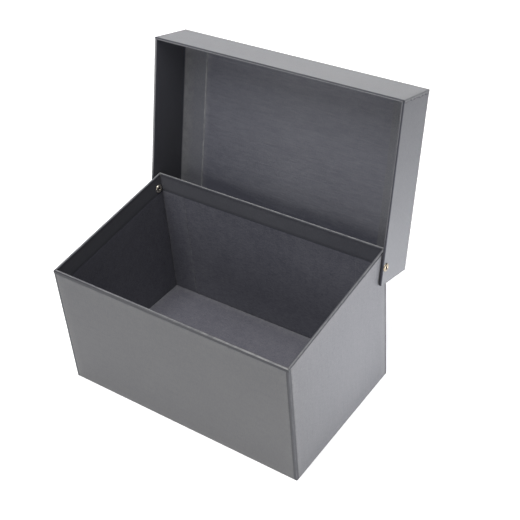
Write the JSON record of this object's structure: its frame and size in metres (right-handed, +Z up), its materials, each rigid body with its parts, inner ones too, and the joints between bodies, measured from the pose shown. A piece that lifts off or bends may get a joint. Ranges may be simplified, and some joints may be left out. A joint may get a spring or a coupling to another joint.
{
  "type": "archival box",
  "caption": "Rigid paper-covered board box with sloping side walls and a tray lid that flips back on side rivets.",
  "frame": {"origin": "middle of the base's underside, on the surface the box stands on", "axes": "X to the right as seen from the front, Y from front to rear, Z up; the lid is drawn open, leaning back on its stop"},
  "size_m": [0.269, 0.2257, 0.2858],
  "materials": {
    "board": "matt grey board",
    "cover_paper": "smooth grey covering paper with a soft sheen",
    "binding_paper": "darker grey binding paper, matt",
    "lining_paper": "dark grey lining paper, matt and slightly mottled",
    "brass": "bright pressed brass"
  },
  "bodies": {
    "base": {"base_bottom_board": "board", "base_front_board": "board", "base_rear_board": "board", "base_left_board": "board", "base_right_board": "board", "base_bottom_cover": "cover_paper", "base_front_cover": "cover_paper", "base_rear_cover": "cover_paper", "base_left_cover": "cover_paper", "base_right_cover": "cover_paper", "base_front_binding": "binding_paper", "base_rear_binding": "binding_paper", "base_left_binding": "binding_paper", "base_right_binding": "binding_paper", "front_left_corner_strip": "binding_paper", "front_right_corner_strip": "binding_paper", "rear_left_corner_strip": "binding_paper", "rear_right_corner_strip": "binding_paper", "base_front_lining": "lining_paper", "base_rear_lining": "lining_paper", "base_left_lining": "lining_paper", "base_right_lining": "lining_paper", "floor_pad_board": "board", "floor_pad_paper": "lining_paper", "left_rivet": "brass", "right_rivet": "brass"},
    "lid": {"lid_top_board": "board", "lid_front_board": "board", "lid_rear_board": "board", "lid_left_board": "board", "lid_right_board": "board", "lid_top_cover": "cover_paper", "lid_front_wrap": "cover_paper", "lid_rear_wrap": "cover_paper", "lid_left_wrap": "cover_paper", "lid_right_wrap": "cover_paper", "lid_top_lining": "lining_paper"}
  },
  "joints": [
    {"name": "lid_hinge", "type": "hinge", "parent": "base", "child": "lid", "pos_m": [0, 0.0709, 0.1345], "axis": [1, 0, 0], "range_deg": [0, 110.4]}
  ]
}
